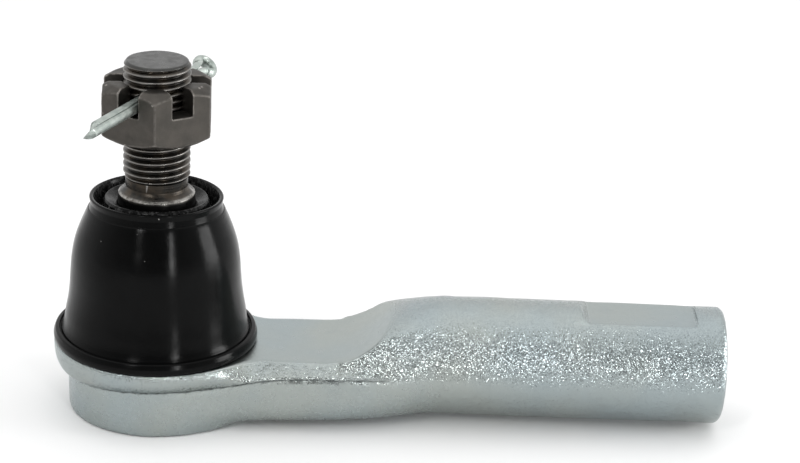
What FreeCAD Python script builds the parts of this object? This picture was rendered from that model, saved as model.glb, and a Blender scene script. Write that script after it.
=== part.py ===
import FreeCAD, Part
import math
import os

os.makedirs("parts", exist_ok=True)

V = FreeCAD.Vector
X_AXIS = V(1, 0, 0)
Z_AXIS = V(0, 0, 1)
ORIGIN = V(0, 0, 0)

# Tie rod end. Millimetres. The origin is on the stud's axis, on the flat underside of the cup.
# +Z runs up the stud and +X runs along the shank to its threaded mouth.

# How far a cutter runs past what it cuts.
CUT_MARGIN = 1.0
STEP_MARGIN = 10.0

# --- ball and stud ---
BALL_R = 10.25
BALL_Z = 14.0
BALL_FLAT_BELOW = 8.6
NECK_R = 5.2
NECK_TOP_Z = 25.0
TAPER_BIG_Z = 28.5
TAPER_SMALL_Z = 40.8
TAPER_SMALL_R = 6.88
TAPER_RATIO = 1 / 8
SHOULDER_TOP_Z = 41.5
UNDERCUT_R = 5.58
THREAD_START_Z = 43.9
THREAD_R = 6.0
THREAD_LEAD_IN = 0.6
STUD_TOP_Z = 65.45
STUD_TOP_CHAMFER = 0.65

# --- castle nut and split pin ---
NUT_ACROSS_FLATS = 19.0
NUT_AZIMUTH = 63.3
NUT_BOTTOM_Z = 51.8
NUT_TOP_Z = 62.05
NUT_SEAT_R = 9.0
NUT_SEAT_CHAMFER_ANGLE = 30.0
NUT_CROWN_R = 8.75
NUT_CROWN_CHAMFER_ANGLE = 32.0
NUT_BORE_R = 6.02
SLOT_WIDTH = 4.05
SLOT_FLOOR_Z = 57.45
PIN_AZIMUTH = 66.8
PIN_Z = 59.15
PIN_R = 1.2
PIN_ROLL = 40.0
PIN_GAP = 0.16
PIN_SHORT_LEG = 22.0
PIN_LONG_LEG = 24.5
PIN_EYE_AT = 18.1
PIN_EYE_R = 2.45
PIN_EYE_HOLE_R = 1.3
PIN_HOLE_R = 1.5

# --- cup ---
CUP_R = 16.1
CUP_EDGE_R = 0.6
FLANGE_R = 18.5
FLANGE_EDGE_R = 0.5
FLANGE_FOOT_Z = 7.6
FLANGE_FULL_Z = 11.5
PARTING_Z = 10.5
DECK_Z = 12.6
COLLAR_R = 13.6
COLLAR_STRAIGHT_TOP_Z = 17.4
COLLAR_TOP_Z = 21.4
COLLAR_TOP_R = 11.9
CAVITY_R = 11.55
CAVITY_ROOF_BEND = 25.0
MOUTH_R = 9.5
MOUTH_FLARE = 0.45
PLUG_LEDGE_Z = 2.35
PLUG_SEAT_R = 12.25
RIM_LIP_R = 11.3
RIM_LIP_THICKNESS = 0.65

# --- arm and shank ---
SHANK_R = 10.85
SHANK_END_R = 10.7
SHANK_Z = SHANK_R
SHANK_START_X = 34.0
SHANK_END_X = 104.0
SHANK_CROWN_X = 72.0
SHANK_CHAMFER = 0.7
STEP_FOOT_X = 36.2
STEP_ANGLE = 43.0
STEP_FOOT_RADIUS = 5.0
STEP_HEAD_RADIUS = 6.0
SOLE_Z = 0.25
# Each station of the arm: distance from the stud, half-width at the parting plane, half-width of
# the flat top, and how full the rounded underside is (2 is an ellipse, more is squarer).
ARM_STATIONS = (
    (5.0, 13.4, 9.2, 5.4),
    (14.0, 13.5, 9.4, 5.2),
    (22.0, 13.15, 9.65, 4.8),
    (29.0, 12.85, 10.0, 4.2),
    (36.0, 12.6, 10.3, 3.4),
    (43.0, 11.85, 10.45, 2.6),
    (52.0, 10.6, 10.4, 2.0),
)
ARM_CURVE_POINTS = 15
WRENCH_ACROSS = 19.0
WRENCH_FROM_X = 79.0
WRENCH_TO_X = 98.7
WRENCH_RUN_OUT = 1.4

# --- threaded bore of the shank, M14 x 1.5 ---
SHANK_BORE_R = 6.19
SHANK_BORE_MOUTH_R = 7.4
SHANK_BORE_DEPTH = 45.0
DRILL_POINT_ANGLE = 118.0
DRILL_WEB_R = 0.5

# --- closing plate, spring and seats ---
PLUG_R = 12.2
PLUG_THICKNESS = 1.6
PLUG_BOSS_R = 5.0
PLUG_BOSS_EDGE = 0.8
SPRING_INNER_R = 5.6
SPRING_OUTER_R = 10.6
SPRING_THICKNESS = 0.6
SPRING_RISE = 0.6
SEAT_CLEARANCE = 0.05
BALL_CLEARANCE = 0.04
SEAT_FLOOR_Z = 3.65
SEAT_FLOOR_R = 9.4
SEAT_BOWL_MIDDLE = -35.0
SEAT_CORNER_Z = 6.2
SEAT_GREASE_HOLE_R = 3.5
SEAT_SPLIT_GAP = 0.2
SEAT_TOP_Z = BALL_Z + 5.4

# --- dust boot and its two steel rings ---
BOOT_WALL = 1.5
BOOT_BASE_R = 18.6
BOOT_BASE_TOP_Z = 14.7
BOOT_BASE_FOOT_INSET = 0.6
BOOT_BASE_TOP_INSET = 0.7
BOOT_LIP_R = 12.0
BOOT_LIP_Z = 40.0
BOOT_LIP_WALL = 0.9
BOOT_LIP_PINCH = 0.15
BOOT_LIP_HEIGHT = 0.9
BOSS_R = 9.35
BOSS_TOP_Z = 39.6
BOSS_INNER_Z = 38.6
BOSS_BOTTOM_Z = 33.2
GROOVE_Z = 36.8
GROOVE_OUTER_INSET = 0.6
GROOVE_INNER_INSET = 0.2
ROOF_INSET = 0.6
WALL_DROP = 0.25
RING_COVER = 0.4
RING_COVER_R = COLLAR_R + 1.0
STUD_GRIP_GAP = 0.06
# Outside of the bell, from the base upwards: radius and height.
BELL = (
    (17.3, 15.1),
    (16.5, 17.3),
    (15.8, 20.2),
    (15.4, 23.5),
    (15.2, 27.0),
    (14.75, 30.5),
    (14.1, 33.5),
    (13.2, 36.0),
    (12.1, 38.2),
)
BASE_RING_THICKNESS = 0.7
BASE_RING_Z = 12.95
BASE_RING_LEG_Z = 16.2
BASE_RING_FLANGE_R = 17.3
BASE_RING_R = COLLAR_R + 0.02
NECK_RING_R = 8.1
NECK_RING_THICKNESS = 0.7
NECK_RING_FROM_Z = 34.0
NECK_RING_TO_Z = 36.9


def p(r, z):
    """A point of a half-section, at a radius and a height."""
    return V(r, 0, z)


def line(a, b):
    return Part.LineSegment(a, b).toShape()


def arc(a, middle, b):
    return Part.Arc(a, middle, b).toShape()


def smooth_curve(points):
    curve = Part.BSplineCurve()
    curve.interpolate(list(points))
    return curve.toShape()


def turned(edges):
    """The solid made by turning a closed half-section about the stud's axis."""
    face = Part.Face(Part.Wire(edges))
    return face.revolve(ORIGIN, Z_AXIS, 360)


def turned_outline(corners):
    """The same, from corners joined by straight lines."""
    points = [p(r, z) for r, z in corners]
    return turned(Part.makePolygon(points + points[:1]).Edges)


def block(x0, x1, y0, y1, z0, z1):
    return Part.makeBox(x1 - x0, y1 - y0, z1 - z0, V(x0, y0, z0))


def spun(shape, degrees):
    copy = shape.copy()
    copy.rotate(ORIGIN, Z_AXIS, degrees)
    return copy


def taper_radius(z):
    return TAPER_SMALL_R + (TAPER_SMALL_Z - z) * TAPER_RATIO / 2


def ball_height(r, radius=BALL_R):
    """How far above the ball's centre a sphere has a given distance from the axis."""
    return math.sqrt(radius * radius - r * r)


def cup_outside():
    """Round cup: rounded foot, straight wall, a flange that swells out of it, and the boot's collar."""
    foot = CUP_EDGE_R * (1 - math.sqrt(0.5))
    edge = FLANGE_EDGE_R * (1 - math.sqrt(0.5))
    swell = FLANGE_R - CUP_R
    lift = FLANGE_FULL_Z - FLANGE_FOOT_Z
    belly = p(CUP_R + swell * math.sqrt(0.5), FLANGE_FULL_Z - lift * math.sqrt(0.5))
    edges = [
        line(p(0, 0), p(CUP_R - CUP_EDGE_R, 0)),
        arc(p(CUP_R - CUP_EDGE_R, 0), p(CUP_R - foot, foot), p(CUP_R, CUP_EDGE_R)),
        line(p(CUP_R, CUP_EDGE_R), p(CUP_R, FLANGE_FOOT_Z)),
        arc(p(CUP_R, FLANGE_FOOT_Z), belly, p(FLANGE_R, FLANGE_FULL_Z)),
        line(p(FLANGE_R, FLANGE_FULL_Z), p(FLANGE_R, DECK_Z - FLANGE_EDGE_R)),
        arc(
            p(FLANGE_R, DECK_Z - FLANGE_EDGE_R),
            p(FLANGE_R - edge, DECK_Z - edge),
            p(FLANGE_R - FLANGE_EDGE_R, DECK_Z),
        ),
        line(p(FLANGE_R - FLANGE_EDGE_R, DECK_Z), p(COLLAR_R, DECK_Z)),
        line(p(COLLAR_R, DECK_Z), p(COLLAR_R, COLLAR_STRAIGHT_TOP_Z)),
        line(p(COLLAR_R, COLLAR_STRAIGHT_TOP_Z), p(COLLAR_TOP_R, COLLAR_TOP_Z)),
        line(p(COLLAR_TOP_R, COLLAR_TOP_Z), p(0, COLLAR_TOP_Z)),
        line(p(0, COLLAR_TOP_Z), p(0, 0)),
    ]
    return turned(edges)


def cup_cavity():
    """Space for the plate, spring, seats and ball: a straight bore, a round roof and a flared mouth."""
    mouth_z = BALL_Z + ball_height(MOUTH_R, CAVITY_R)
    bend = math.radians(CAVITY_ROOF_BEND)
    roof = p(CAVITY_R * math.cos(bend), BALL_Z + CAVITY_R * math.sin(bend))
    top = COLLAR_TOP_Z + CUT_MARGIN
    low = -CUT_MARGIN
    edges = [
        line(p(0, low), p(RIM_LIP_R, low)),
        line(p(RIM_LIP_R, low), p(RIM_LIP_R, RIM_LIP_THICKNESS)),
        line(p(RIM_LIP_R, RIM_LIP_THICKNESS), p(PLUG_SEAT_R, RIM_LIP_THICKNESS)),
        line(p(PLUG_SEAT_R, RIM_LIP_THICKNESS), p(PLUG_SEAT_R, PLUG_LEDGE_Z)),
        line(p(PLUG_SEAT_R, PLUG_LEDGE_Z), p(CAVITY_R, PLUG_LEDGE_Z)),
        line(p(CAVITY_R, PLUG_LEDGE_Z), p(CAVITY_R, BALL_Z)),
        arc(p(CAVITY_R, BALL_Z), roof, p(MOUTH_R, mouth_z)),
        line(p(MOUTH_R, mouth_z), p(MOUTH_R + MOUTH_FLARE * (top - mouth_z), top)),
        line(p(MOUTH_R + MOUTH_FLARE * (top - mouth_z), top), p(0, top)),
        line(p(0, top), p(0, low)),
    ]
    return turned(edges)


def arm_section(x, half_width, top_half_width, fullness):
    """One cross-section of the arm: flat top, sloping shoulders, and a rounded belly below them."""
    depth = PARTING_Z - SOLE_Z
    belly = []
    for i in range(ARM_CURVE_POINTS):
        angle = math.pi * i / (ARM_CURVE_POINTS - 1)
        c = math.cos(angle)
        s = math.sin(angle)
        y = math.copysign(abs(c) ** (2 / fullness), c) * half_width
        z = PARTING_Z - abs(s) ** (2 / fullness) * depth
        belly.append(V(x, y, z))
    left = V(x, -top_half_width, DECK_Z)
    right = V(x, top_half_width, DECK_Z)
    edges = [
        smooth_curve(belly),
        line(belly[-1], left),
        line(left, right),
        line(right, belly[0]),
    ]
    return Part.Wire(edges)


def arm():
    return Part.makeLoft([arm_section(*s) for s in ARM_STATIONS], True, False)


def shank_blank():
    """Round bar along X, very slightly fuller in the middle, with a chamfered end."""
    x_end = SHANK_END_X
    start = V(SHANK_START_X, 0, SHANK_Z + SHANK_END_R)
    crown = V(SHANK_CROWN_X, 0, SHANK_Z + SHANK_R)
    end = V(x_end - SHANK_CHAMFER, 0, SHANK_Z + SHANK_END_R)
    corner = V(x_end, 0, SHANK_Z + SHANK_END_R - SHANK_CHAMFER)
    centre_end = V(x_end, 0, SHANK_Z)
    centre_start = V(SHANK_START_X, 0, SHANK_Z)
    edges = [
        arc(start, crown, end),
        line(end, corner),
        line(corner, centre_end),
        line(centre_end, centre_start),
        line(centre_start, start),
    ]
    face = Part.Face(Part.Wire(edges))
    return face.revolve(centre_start, X_AXIS, 360)


def step_cutter():
    """Everything above the deck and the ramp that climbs from the deck to the top of the shank."""
    half = math.radians(STEP_ANGLE / 2)
    slope = math.radians(STEP_ANGLE)
    rise = 2 * SHANK_R - DECK_Z
    foot = V(STEP_FOOT_X, 0, DECK_Z)
    head = V(STEP_FOOT_X + rise / math.tan(slope), 0, DECK_Z + rise)
    along = V(math.cos(slope), 0, math.sin(slope))
    foot_cut = STEP_FOOT_RADIUS * math.tan(half)
    head_cut = STEP_HEAD_RADIUS * math.tan(half)
    foot_a = foot - X_AXIS * foot_cut
    foot_b = foot + along * foot_cut
    head_a = head - along * head_cut
    head_b = head + X_AXIS * head_cut
    foot_turn = V(-math.sin(half), 0, math.cos(half))
    foot_centre = foot_a + Z_AXIS * STEP_FOOT_RADIUS
    head_centre = head_b - Z_AXIS * STEP_HEAD_RADIUS
    foot_middle = foot_centre - V(foot_turn.x, 0, foot_turn.z) * STEP_FOOT_RADIUS
    head_middle = head_centre + V(foot_turn.x, 0, foot_turn.z) * STEP_HEAD_RADIUS
    ceiling = DECK_Z + rise + STEP_MARGIN
    back = V(SHANK_START_X - STEP_MARGIN, 0, DECK_Z)
    edges = [
        line(back, foot_a),
        arc(foot_a, foot_middle, foot_b),
        line(foot_b, head_a),
        arc(head_a, head_middle, head_b),
        line(head_b, V(head_b.x, 0, ceiling)),
        line(V(head_b.x, 0, ceiling), V(back.x, 0, ceiling)),
        line(V(back.x, 0, ceiling), back),
    ]
    face = Part.Face(Part.Wire(edges))
    face.translate(V(0, -2 * SHANK_R, 0))
    return face.extrude(V(0, 4 * SHANK_R, 0))


def wrench_cutter(side):
    """Slab that leaves one flat: square at the mouth end, a short slope at the other."""
    z_flat = SHANK_Z + side * WRENCH_ACROSS / 2
    z_out = SHANK_Z + side * (SHANK_R + CUT_MARGIN)
    lift = abs(z_out - z_flat)
    corners = [
        V(WRENCH_FROM_X, 0, z_flat),
        V(WRENCH_TO_X, 0, z_flat),
        V(WRENCH_TO_X, 0, z_out),
        V(WRENCH_FROM_X - WRENCH_RUN_OUT * lift, 0, z_out),
    ]
    face = Part.Face(Part.makePolygon(corners + corners[:1]))
    face.translate(V(0, -2 * SHANK_R, 0))
    return face.extrude(V(0, 4 * SHANK_R, 0))


def shank_bore():
    """Blind hole at the thread's minor radius, with a chamfered mouth and a blunt drill point."""
    mouth = SHANK_BORE_MOUTH_R - SHANK_BORE_R
    bottom_x = SHANK_END_X - SHANK_BORE_DEPTH
    point = (SHANK_BORE_R - DRILL_WEB_R) / math.tan(math.radians(DRILL_POINT_ANGLE / 2))
    points = [
        V(SHANK_END_X + CUT_MARGIN, 0, SHANK_Z),
        V(SHANK_END_X + CUT_MARGIN, 0, SHANK_Z + SHANK_BORE_MOUTH_R),
        V(SHANK_END_X, 0, SHANK_Z + SHANK_BORE_MOUTH_R),
        V(SHANK_END_X - mouth, 0, SHANK_Z + SHANK_BORE_R),
        V(bottom_x, 0, SHANK_Z + SHANK_BORE_R),
        V(bottom_x - point, 0, SHANK_Z + DRILL_WEB_R),
        V(bottom_x - point, 0, SHANK_Z),
    ]
    face = Part.Face(Part.makePolygon(points + points[:1]))
    return face.revolve(V(SHANK_END_X, 0, SHANK_Z), X_AXIS, 360)


def housing():
    """Forged body: cup, arm and shank in one piece, with its machined features cut in."""
    shank = shank_blank().cut(step_cutter())
    body = cup_outside().fuse([arm(), shank])
    body = body.cut([cup_cavity(), wrench_cutter(1), wrench_cutter(-1), shank_bore()])
    return body.removeSplitter()


def end_plug():
    """Closing plate under the ball, with a pressed-out centre that is flush with the cup's foot."""
    low = RIM_LIP_THICKNESS + SEAT_CLEARANCE
    top = low + PLUG_THICKNESS
    return turned_outline(
        [
            (0, 0),
            (PLUG_BOSS_R, 0),
            (PLUG_BOSS_R + PLUG_BOSS_EDGE, low),
            (PLUG_R, low),
            (PLUG_R, top),
            (PLUG_BOSS_R, top),
            (PLUG_BOSS_R - PLUG_BOSS_EDGE, PLUG_THICKNESS),
            (0, PLUG_THICKNESS),
        ]
    )


def preload_spring():
    """Conical spring washer between the plate and the lower seat."""
    low = RIM_LIP_THICKNESS + SEAT_CLEARANCE + PLUG_THICKNESS
    return turned_outline(
        [
            (SPRING_OUTER_R, low),
            (SPRING_OUTER_R, low + SPRING_THICKNESS),
            (SPRING_INNER_R, low + SPRING_THICKNESS + SPRING_RISE),
            (SPRING_INNER_R, low + SPRING_RISE),
        ]
    )


def lower_ball_seat():
    """Plastic bowl under the ball, with a grease hole in its floor."""
    r_out = CAVITY_R - SEAT_CLEARANCE
    r_in = BALL_R + BALL_CLEARANCE
    hole_z = BALL_Z - ball_height(SEAT_GREASE_HOLE_R, r_in)
    middle = math.radians(SEAT_BOWL_MIDDLE)
    edges = [
        line(p(SEAT_GREASE_HOLE_R, SEAT_FLOOR_Z), p(SEAT_FLOOR_R, SEAT_FLOOR_Z)),
        line(p(SEAT_FLOOR_R, SEAT_FLOOR_Z), p(r_out, SEAT_CORNER_Z)),
        line(p(r_out, SEAT_CORNER_Z), p(r_out, BALL_Z)),
        line(p(r_out, BALL_Z), p(r_in, BALL_Z)),
        arc(
            p(r_in, BALL_Z),
            p(r_in * math.cos(middle), BALL_Z + r_in * math.sin(middle)),
            p(SEAT_GREASE_HOLE_R, hole_z),
        ),
        line(p(SEAT_GREASE_HOLE_R, hole_z), p(SEAT_GREASE_HOLE_R, SEAT_FLOOR_Z)),
    ]
    return turned(edges)


def upper_ball_seat():
    """Plastic ring over the ball, held under the cup's round roof."""
    low = BALL_Z + SEAT_SPLIT_GAP
    r_out = CAVITY_R - SEAT_CLEARANCE
    r_in = BALL_R + BALL_CLEARANCE
    h_low = low - BALL_Z
    h_top = SEAT_TOP_Z - BALL_Z
    h_mid = (h_low + h_top) / 2
    out_low = p(math.sqrt(r_out**2 - h_low**2), low)
    out_top = p(math.sqrt(r_out**2 - h_top**2), SEAT_TOP_Z)
    in_low = p(math.sqrt(r_in**2 - h_low**2), low)
    in_top = p(math.sqrt(r_in**2 - h_top**2), SEAT_TOP_Z)
    edges = [
        arc(out_low, p(math.sqrt(r_out**2 - h_mid**2), BALL_Z + h_mid), out_top),
        line(out_top, in_top),
        arc(in_top, p(math.sqrt(r_in**2 - h_mid**2), BALL_Z + h_mid), in_low),
        line(in_low, out_low),
    ]
    return turned(edges)


def pin_hole():
    """Cross hole for the split pin, along the stud's local X axis before the stud is turned."""
    reach = 2 * THREAD_R
    return Part.makeCylinder(PIN_HOLE_R, 2 * reach, V(-reach, 0, PIN_Z), X_AXIS)


def ball_stud():
    """Ball with a flat foot, neck, taper, undercut and threaded end, in one piece."""
    flat_r = ball_height(BALL_FLAT_BELOW)
    flat = p(flat_r, BALL_Z - BALL_FLAT_BELOW)
    neck_low = p(NECK_R, BALL_Z + ball_height(NECK_R))
    big = p(taper_radius(TAPER_BIG_Z), TAPER_BIG_Z)
    small = p(TAPER_SMALL_R, TAPER_SMALL_Z)
    relief_low = p(UNDERCUT_R, SHOULDER_TOP_Z)
    relief_top = p(UNDERCUT_R, THREAD_START_Z)
    thread_low = p(THREAD_R, THREAD_START_Z + THREAD_LEAD_IN)
    thread_top = p(THREAD_R, STUD_TOP_Z - STUD_TOP_CHAMFER)
    tip = p(THREAD_R - STUD_TOP_CHAMFER, STUD_TOP_Z)
    edges = [
        line(p(0, flat.z), flat),
        arc(flat, p(BALL_R, BALL_Z), neck_low),
        line(neck_low, p(NECK_R, NECK_TOP_Z)),
        line(p(NECK_R, NECK_TOP_Z), big),
        line(big, small),
        line(small, relief_low),
        line(relief_low, relief_top),
        line(relief_top, thread_low),
        line(thread_low, thread_top),
        line(thread_top, tip),
        line(tip, p(0, STUD_TOP_Z)),
        line(p(0, STUD_TOP_Z), p(0, flat.z)),
    ]
    return spun(turned(edges).cut(pin_hole()), PIN_AZIMUTH)


def hexagon_bar(across_flats, z0, z1):
    """Hexagonal bar with a flat facing local +X."""
    corner = across_flats / math.sqrt(3)
    points = []
    for i in range(6):
        angle = math.radians(60 * i + 30)
        points.append(V(corner * math.cos(angle), corner * math.sin(angle), z0))
    face = Part.Face(Part.makePolygon(points + points[:1]))
    return face.extrude(V(0, 0, z1 - z0))


def castle_nut():
    """Hexagon nut with both ends chamfered and three slots across its top."""
    corner = NUT_ACROSS_FLATS / math.sqrt(3) + CUT_MARGIN
    rise = (corner - NUT_SEAT_R) * math.tan(math.radians(NUT_SEAT_CHAMFER_ANGLE))
    drop = (corner - NUT_CROWN_R) * math.tan(math.radians(NUT_CROWN_CHAMFER_ANGLE))
    envelope = turned_outline(
        [
            (0, NUT_BOTTOM_Z),
            (NUT_SEAT_R, NUT_BOTTOM_Z),
            (corner, NUT_BOTTOM_Z + rise),
            (corner, NUT_TOP_Z - drop),
            (NUT_CROWN_R, NUT_TOP_Z),
            (0, NUT_TOP_Z),
        ]
    )
    nut = hexagon_bar(NUT_ACROSS_FLATS, NUT_BOTTOM_Z, NUT_TOP_Z).common(envelope)
    height = NUT_TOP_Z - NUT_BOTTOM_Z + 2 * CUT_MARGIN
    nut = nut.cut(Part.makeCylinder(NUT_BORE_R, height, V(0, 0, NUT_BOTTOM_Z - CUT_MARGIN)))
    slot_top = NUT_TOP_Z + CUT_MARGIN
    slot = block(-corner, corner, -SLOT_WIDTH / 2, SLOT_WIDTH / 2, SLOT_FLOOR_Z, slot_top)
    nut = nut.cut([spun(slot, 60 * i) for i in range(3)])
    return spun(nut, NUT_AZIMUTH)


def pin_leg(side, length):
    """One half-round leg, from its tip to the eye, on one side of the split."""
    rod = Part.makeCylinder(PIN_R, length + PIN_EYE_AT, V(-length, 0, 0), X_AXIS)
    low = PIN_GAP / 2 if side > 0 else -2 * PIN_R
    high = 2 * PIN_R if side > 0 else -PIN_GAP / 2
    return rod.common(block(-length, PIN_EYE_AT, low, high, -2 * PIN_R, 2 * PIN_R))


def cotter_pin():
    """Split pin: two half-round legs that meet in a round eye."""
    base = V(PIN_EYE_AT, 0, -PIN_R)
    eye = Part.makeCylinder(PIN_EYE_R, 2 * PIN_R, base, Z_AXIS)
    hole = Part.makeCylinder(PIN_EYE_HOLE_R, 2 * PIN_R, base, Z_AXIS)
    pin = eye.fuse([pin_leg(1, PIN_SHORT_LEG), pin_leg(-1, PIN_LONG_LEG)]).cut(hole)
    pin.rotate(ORIGIN, X_AXIS, PIN_ROLL)
    pin.translate(V(0, 0, PIN_Z))
    return spun(pin, PIN_AZIMUTH)


def boot_neck_ring():
    """Steel ring inside the boss, which keeps the rubber tight on the taper."""
    outer = NECK_RING_R + NECK_RING_THICKNESS
    return turned_outline(
        [
            (NECK_RING_R, NECK_RING_FROM_Z),
            (outer, NECK_RING_FROM_Z),
            (outer, NECK_RING_TO_Z),
            (NECK_RING_R, NECK_RING_TO_Z),
        ]
    )


def boot_base_ring():
    """Steel ring of L section inside the boot's base, pressed on the cup's collar."""
    leg_r = BASE_RING_R + BASE_RING_THICKNESS
    return turned_outline(
        [
            (BASE_RING_R, BASE_RING_Z),
            (BASE_RING_FLANGE_R, BASE_RING_Z),
            (BASE_RING_FLANGE_R, BASE_RING_Z + BASE_RING_THICKNESS),
            (leg_r, BASE_RING_Z + BASE_RING_THICKNESS),
            (leg_r, BASE_RING_LEG_Z),
            (BASE_RING_R, BASE_RING_LEG_Z),
        ]
    )


def dust_boot():
    """Rubber bell: base flange, curved wall, upstanding lip, groove and the boss round the taper."""
    grip_low = p(taper_radius(BOSS_BOTTOM_Z) + STUD_GRIP_GAP, BOSS_BOTTOM_Z)
    grip_top = p(taper_radius(BOSS_INNER_Z) + STUD_GRIP_GAP, BOSS_INNER_Z)
    base_low = p(COLLAR_R + STUD_GRIP_GAP, DECK_Z + STUD_GRIP_GAP)
    base_foot = p(BOOT_BASE_R - BOOT_BASE_FOOT_INSET, base_low.z)
    base_side = p(BOOT_BASE_R, (BOOT_BASE_TOP_Z + DECK_Z) / 2)
    base_top = p(BOOT_BASE_R - BOOT_BASE_TOP_INSET, BOOT_BASE_TOP_Z)
    outside = [p(r, z) for r, z in BELL]
    inside = [p(r - BOOT_WALL, z - BOOT_WALL * WALL_DROP) for r, z in BELL[1:-1]]
    inside[0] = p(RING_COVER_R, BASE_RING_LEG_Z + RING_COVER)
    inside_foot = p(COLLAR_R + STUD_GRIP_GAP, inside[0].z)
    lip_out = p(BOOT_LIP_R, BOOT_LIP_Z)
    lip_waist = p(BOOT_LIP_R - BOOT_LIP_PINCH, BOOT_LIP_Z - BOOT_LIP_HEIGHT)
    lip_in = p(BOOT_LIP_R - BOOT_LIP_WALL, BOOT_LIP_Z)
    groove_out = p(BOOT_LIP_R - BOOT_LIP_WALL - GROOVE_OUTER_INSET, GROOVE_Z)
    groove_in = p(BOSS_R + GROOVE_INNER_INSET, GROOVE_Z)
    roof_in = p(BOSS_R + ROOF_INSET, BOSS_BOTTOM_Z)
    edges = [
        line(base_low, base_foot),
        arc(base_foot, base_side, base_top),
        line(base_top, outside[0]),
        smooth_curve(outside),
        line(outside[-1], lip_waist),
        line(lip_waist, lip_out),
        line(lip_out, lip_in),
        line(lip_in, groove_out),
        line(groove_out, groove_in),
        line(groove_in, p(BOSS_R, BOSS_TOP_Z)),
        line(p(BOSS_R, BOSS_TOP_Z), grip_top),
        line(grip_top, grip_low),
        line(grip_low, roof_in),
        line(roof_in, inside[-1]),
        smooth_curve(reversed(inside)),
        line(inside[0], inside_foot),
        line(inside_foot, base_low),
    ]
    return turned(edges).cut([boot_base_ring(), boot_neck_ring()])


NODES = {
    "housing": housing,
    "end_plug": end_plug,
    "preload_spring": preload_spring,
    "lower_ball_seat": lower_ball_seat,
    "upper_ball_seat": upper_ball_seat,
    "ball_stud": ball_stud,
    "dust_boot": dust_boot,
    "boot_base_ring": boot_base_ring,
    "boot_neck_ring": boot_neck_ring,
    "castle_nut": castle_nut,
    "cotter_pin": cotter_pin,
}


def main():
    for name, make in NODES.items():
        shape = make()
        solids = len(shape.Solids)
        print(f"{name}: solids {solids}, valid {shape.isValid()}, volume {shape.Volume:.1f} mm3")
        shape.exportStep(f"parts/{name}.step")


main()
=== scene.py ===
import math

import bpy
import numpy as np
from mathutils import Matrix, Vector


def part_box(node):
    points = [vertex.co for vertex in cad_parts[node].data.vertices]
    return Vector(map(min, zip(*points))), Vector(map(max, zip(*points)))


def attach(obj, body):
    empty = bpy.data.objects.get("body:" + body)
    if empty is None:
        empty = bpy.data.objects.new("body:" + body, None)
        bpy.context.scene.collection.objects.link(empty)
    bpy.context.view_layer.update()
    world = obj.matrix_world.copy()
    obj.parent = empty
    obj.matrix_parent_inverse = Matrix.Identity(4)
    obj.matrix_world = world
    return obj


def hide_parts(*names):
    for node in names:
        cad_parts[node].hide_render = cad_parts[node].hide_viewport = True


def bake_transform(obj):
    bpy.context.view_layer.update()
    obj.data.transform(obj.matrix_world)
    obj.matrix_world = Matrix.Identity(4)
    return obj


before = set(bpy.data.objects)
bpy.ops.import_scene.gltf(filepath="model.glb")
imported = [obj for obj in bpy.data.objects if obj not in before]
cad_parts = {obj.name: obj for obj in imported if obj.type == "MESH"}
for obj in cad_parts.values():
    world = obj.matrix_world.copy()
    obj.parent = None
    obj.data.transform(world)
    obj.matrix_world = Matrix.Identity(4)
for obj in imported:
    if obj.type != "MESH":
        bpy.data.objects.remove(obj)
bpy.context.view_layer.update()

# Lengths in this script are millimetres, and MM turns them into the frame's metres.
MM = 0.001


def top_of(node):
    """Highest corner of a CAD node, in millimetres."""
    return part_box(node)[1] / MM


def foot_of(node):
    """Lowest corner of a CAD node, in millimetres."""
    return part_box(node)[0] / MM


# --- places read from the frame ---
SHANK_END_X = top_of("housing").x
SHANK_R = top_of("housing").z / 2
SHANK_Z = SHANK_R
COLLAR_TOP_Z = 21.4
STUD_TOP_Z = top_of("ball_stud").z
BALL_FLAT_Z = foot_of("ball_stud").z
BOOT_LIP_Z = top_of("dust_boot").z - 0.5
BOOT_BASE_R = top_of("dust_boot").x
NUT_TOP_Z = top_of("castle_nut").z
NUT_BOTTOM_Z = foot_of("castle_nut").z

# --- ball and stud ---
BALL_R = 10.25
BALL_Z = 14.0
NECK_R = 5.2
NECK_TOP_Z = 25.0
TAPER_BIG_Z = 28.5
TAPER_BIG_R = 7.65
TAPER_SMALL_Z = 40.8
TAPER_SMALL_R = 6.88
SHOULDER_TOP_Z = 41.7
UNDERCUT_R = 5.58
THREAD_START_Z = 43.9
THREAD_R = 6.0
THREAD_PITCH = 1.25
THREAD_DEPTH = 0.72
PIN_HOLE_R = 1.5

# --- nut and pin ---
NUT_ACROSS_FLATS = 19.0
NUT_FACE_R = 9.0
NUT_TOP_FACE_R = 8.75
NUT_AZIMUTH = math.radians(63.3)
NUT_CHAMFER_ANGLE = math.radians(32.0)
SLOT_WIDTH = 4.05
SLOT_FLOOR_Z = 57.45
PIN_AZIMUTH = math.radians(66.8)
PIN_ROLL = math.radians(40.0)
PIN_Z = 59.15
PIN_R = 1.2
PIN_GAP = 0.16
PIN_SHORT_LEG = 22.0
PIN_LONG_LEG = 24.5
PIN_EYE_AT = 18.1
PIN_EYE_HOLE_R = 1.3
PIN_TIP_SLANT = 1.035

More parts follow.
